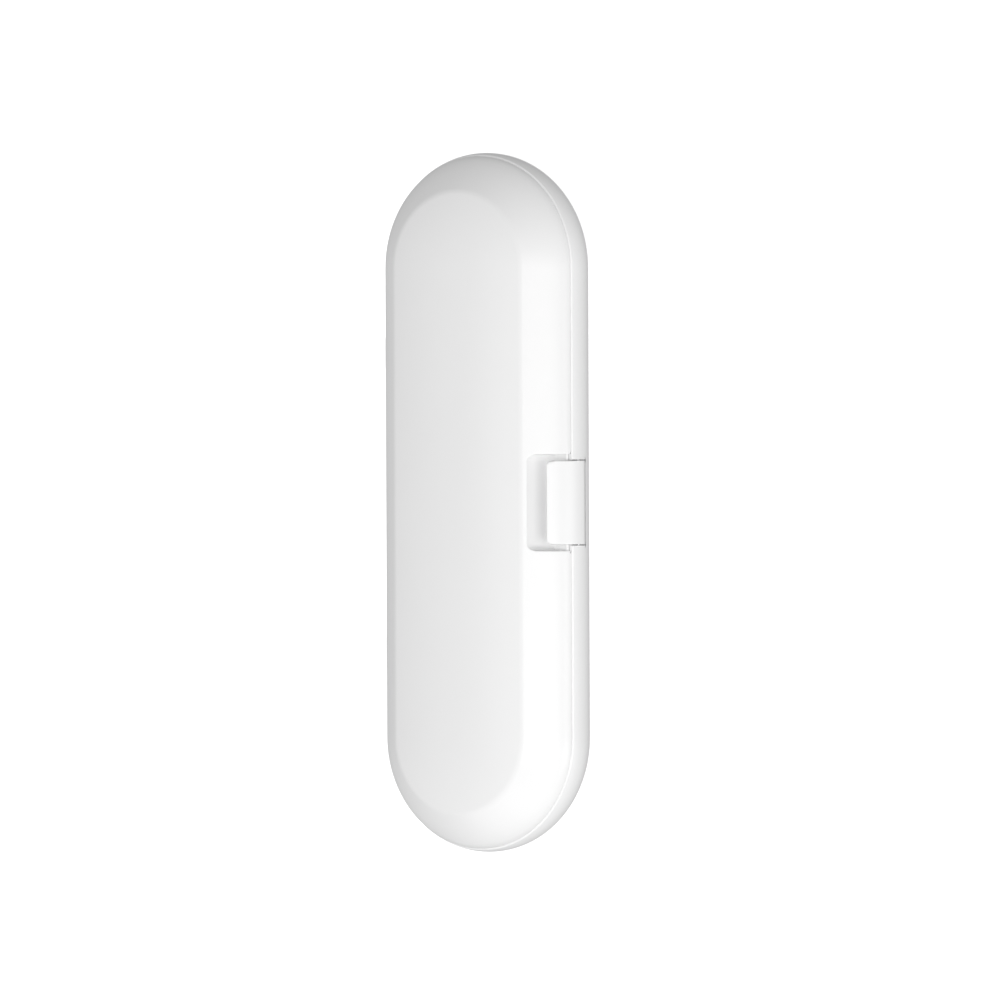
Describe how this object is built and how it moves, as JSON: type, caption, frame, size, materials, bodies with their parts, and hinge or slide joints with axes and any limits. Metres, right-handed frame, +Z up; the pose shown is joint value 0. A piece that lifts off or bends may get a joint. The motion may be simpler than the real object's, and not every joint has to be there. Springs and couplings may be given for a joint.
{
  "type": "electric toothbrush travel case",
  "caption": "Hard capsule-shaped clamshell travel case for an electric toothbrush, with a side hinge, a snap clasp in a finger scoop, and moulded inserts for handle and brush heads.",
  "frame": {"origin": "middle of the flat on the back of the closed case, on the surface that it lies on", "axes": "+Z up through the lid, +Y along the case, +X towards the clasp, with the hinge on -X"},
  "size_m": [0.0801, 0.215, 0.032],
  "materials": {
    "shell_plastic": "white injection-moulded polypropylene, satin gloss",
    "insert_plastic": "white moulded insert, matt",
    "soft_rest": "grey soft thermoplastic rubber, matt",
    "pin_steel": "drawn stainless wire"
  },
  "bodies": {
    "base": {"rear_shell": "shell_plastic", "tray_insert": "insert_plastic", "handle_rest_upper": "soft_rest", "handle_rest_lower": "soft_rest", "hinge_pin_upper": "pin_steel", "hinge_pin_lower": "pin_steel", "latch_pin": "pin_steel"},
    "lid": {"lid_shell": "shell_plastic", "lid_insert": "insert_plastic", "lid_rest_upper": "soft_rest", "lid_rest_lower": "soft_rest"},
    "clasp": {"latch_clasp": "shell_plastic"}
  },
  "joints": [
    {"name": "lid_hinge", "type": "hinge", "parent": "base", "child": "lid", "pos_m": [-0.0384, 0, 0.0179], "axis": [0, -1, 0], "range_deg": [0, 150]},
    {"name": "clasp_hinge", "type": "hinge", "parent": "base", "child": "clasp", "pos_m": [0.03775, 0, 0.0162], "axis": [0, 1, 0], "range_deg": [0, 95]}
  ]
}
